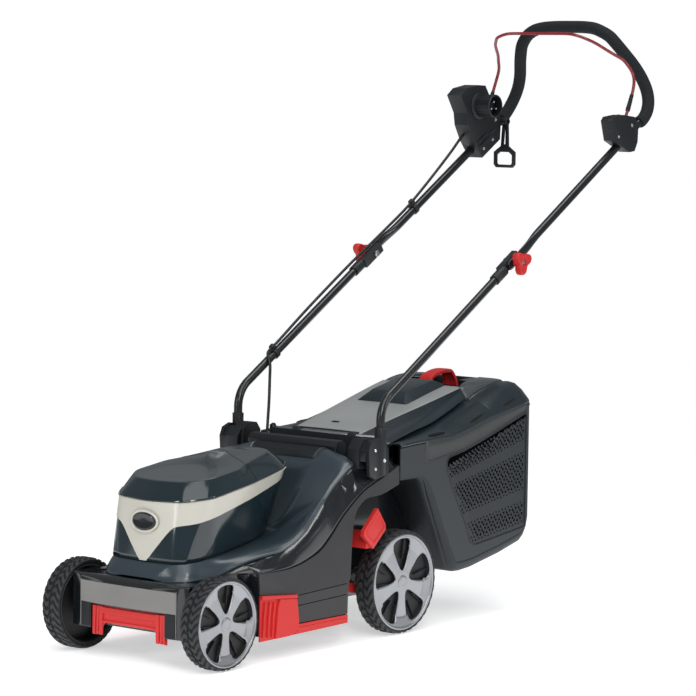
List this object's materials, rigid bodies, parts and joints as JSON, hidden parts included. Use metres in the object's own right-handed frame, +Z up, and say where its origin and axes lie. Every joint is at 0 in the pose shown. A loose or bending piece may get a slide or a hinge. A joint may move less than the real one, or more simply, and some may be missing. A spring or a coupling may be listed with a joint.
{
  "type": "rotary lawn mower",
  "caption": "Corded electric rotary lawn mower with a folding tubular handle, foam grip, switch bail, crank-axle height lever, rear flap and rear grass catcher.",
  "frame": {"origin": "on the ground under the middle of the machine's bounding box", "axes": "-Y is the front, +Z is up, +X is the operator's left"},
  "size_m": [0.405, 1.3892, 1.1414],
  "materials": {
    "black_gloss": "moulded, glossy",
    "slate": "moulded, satin sheen",
    "hood_petrol": "moulded, glossy",
    "panel_grey": "fine-grained, matte",
    "apron_grey": "moulded, glossy",
    "trim_cream": "moulded, glossy",
    "red_plastic": "moulded, satin",
    "black_plastic": "fine-grained, matte",
    "catcher_black": "fine-grained, matte",
    "steel": "plain",
    "black_paint": "glossy powder coat",
    "red_paint": "glossy coat",
    "tyre": "moulded",
    "rim_silver": "silver paint, satin",
    "foam": "closed-cell foam, matte",
    "cable_rubber": "satin jacket"
  },
  "bodies": {
    "machine": {"deck_shell": "black_gloss", "discharge_chute": "black_gloss", "deck_cover": "slate", "carry_handle": "black_gloss", "side_panel_left": "panel_grey", "side_panel_right": "panel_grey", "side_skirt_left": "red_plastic", "side_skirt_right": "red_plastic", "front_comb": "red_plastic", "front_apron": "apron_grey", "motor_hood": "hood_petrol", "hood_trim": "trim_cream", "hood_cap": "hood_petrol", "front_badge": "black_plastic", "motor_stator": "steel", "handle_bracket_left": "black_plastic", "handle_bracket_right": "black_plastic", "lower_tube_left": "black_paint", "lower_tube_right": "black_paint", "fold_collar_left": "black_plastic", "fold_collar_right": "black_plastic", "fold_bolt_left": "steel", "fold_bolt_right": "steel", "cable_lower": "cable_rubber", "cable_clip_lower": "black_plastic", "flap_rod": "steel"},
    "blade_rotor": {"motor_shaft": "steel", "blade_carrier": "black_plastic", "cutting_blade": "steel", "blade_bolt": "steel"},
    "front_axle": {"front_axle": "steel"},
    "rear_axle": {"rear_axle": "steel", "height_lever": "red_plastic"},
    "height_link": {"height_link": "steel"},
    "wheel_front_left": {"tyre_front_left": "tyre", "wheel_front_left": "rim_silver"},
    "wheel_front_right": {"tyre_front_right": "tyre", "wheel_front_right": "rim_silver"},
    "wheel_rear_left": {"tyre_rear_left": "tyre", "wheel_rear_left": "rim_silver"},
    "wheel_rear_right": {"tyre_rear_right": "tyre", "wheel_rear_right": "rim_silver"},
    "upper_handle": {"upper_tube": "black_paint", "foam_grip": "foam", "pivot_box": "black_plastic", "switch_box": "black_plastic", "power_inlet": "black_plastic", "cable_upper": "cable_rubber", "cable_clip_upper": "black_plastic"},
    "switch_bail": {"switch_bail": "red_paint"},
    "cord_hook": {"cord_hook": "black_plastic"},
    "release_button": {"release_button": "red_plastic"},
    "knob_left": {"clamp_knob_left": "red_plastic"},
    "knob_right": {"clamp_knob_right": "red_plastic"},
    "rear_flap": {"rear_flap": "hood_petrol"},
    "catcher": {"catcher_basket": "catcher_black", "catcher_lid": "hood_petrol", "catcher_handle": "red_plastic"}
  },
  "joints": [
    {"name": "blade_spin", "type": "hinge", "parent": "machine", "child": "blade_rotor", "pos_m": [0, -0.43762, 0.06], "axis": [0, 0, 1], "continuous": true},
    {"name": "rear_axle_swing", "type": "hinge", "parent": "machine", "child": "rear_axle", "pos_m": [0, -0.13956, 0.08044], "axis": [-1, 0, 0], "range_deg": [0, 50]},
    {"name": "front_axle_swing", "type": "hinge", "parent": "machine", "child": "front_axle", "pos_m": [0, -0.64706, 0.06594], "axis": [-1, 0, 0], "range_deg": [0, 50]},
    {"name": "height_link_swing", "type": "hinge", "parent": "rear_axle", "child": "height_link", "pos_m": [0.101, -0.13956, 0.11044], "axis": [-1, 0, 0], "range_deg": [-50, 0]},
    {"name": "wheel_front_left_spin", "type": "hinge", "parent": "front_axle", "child": "wheel_front_left", "pos_m": [0.164, -0.61262, 0.082], "axis": [1, 0, 0], "continuous": true},
    {"name": "wheel_front_right_spin", "type": "hinge", "parent": "front_axle", "child": "wheel_front_right", "pos_m": [-0.164, -0.61262, 0.082], "axis": [1, 0, 0], "continuous": true},
    {"name": "wheel_rear_left_spin", "type": "hinge", "parent": "rear_axle", "child": "wheel_rear_left", "pos_m": [0.1525, -0.10512, 0.0965], "axis": [1, 0, 0], "continuous": true},
    {"name": "wheel_rear_right_spin", "type": "hinge", "parent": "rear_axle", "child": "wheel_rear_right", "pos_m": [-0.1525, -0.10512, 0.0965], "axis": [1, 0, 0], "continuous": true},
    {"name": "handle_fold", "type": "hinge", "parent": "machine", "child": "upper_handle", "pos_m": [0, 0.21624, 0.67708], "axis": [1, 0, 0], "range_deg": [0, 135], "deforming": ["cable_upper", "cable_lower"]},
    {"name": "bail_swing", "type": "hinge", "parent": "upper_handle", "child": "switch_bail", "pos_m": [0, 0.58338, 0.936], "axis": [-1, 0, 0], "range_deg": [0, 23], "stiffness_Nm_per_rad": 0.5, "springref_deg": -17.19},
    {"name": "cord_hook_swing", "type": "hinge", "parent": "upper_handle", "child": "cord_hook", "pos_m": [-0.146, 0.62038, 0.935], "axis": [1, 0, 0], "range_deg": [-10, 60]},
    {"name": "release_button_press", "type": "slide", "parent": "upper_handle", "child": "release_button", "axis": [1, 0, 0], "range_m": [0, 0.003], "stiffness_N_per_m": 400, "springref_m": -0.003},
    {"name": "knob_left_turn", "type": "hinge", "parent": "machine", "child": "knob_left", "pos_m": [0.19, 0.21624, 0.67708], "axis": [1, 0, 0], "continuous": true},
    {"name": "knob_right_turn", "type": "hinge", "parent": "machine", "child": "knob_right", "pos_m": [-0.19, 0.21624, 0.67708], "axis": [1, 0, 0], "continuous": true},
    {"name": "rear_flap_lift", "type": "hinge", "parent": "machine", "child": "rear_flap", "pos_m": [0, -0.12962, 0.362], "axis": [1, 0, 0], "range_deg": [0, 60], "stiffness_Nm_per_rad": 0.4, "springref_deg": -28.65},
    {"name": "catcher_pull", "type": "slide", "parent": "machine", "child": "catcher", "axis": [0, 0.9877, 0.1564], "range_m": [0, 0.12]}
  ],
  "couplings": [
    {"joint": "front_axle_swing", "follows": "rear_axle_swing", "ratio": 1},
    {"joint": "height_link_swing", "follows": "rear_axle_swing", "ratio": -1}
  ]
}
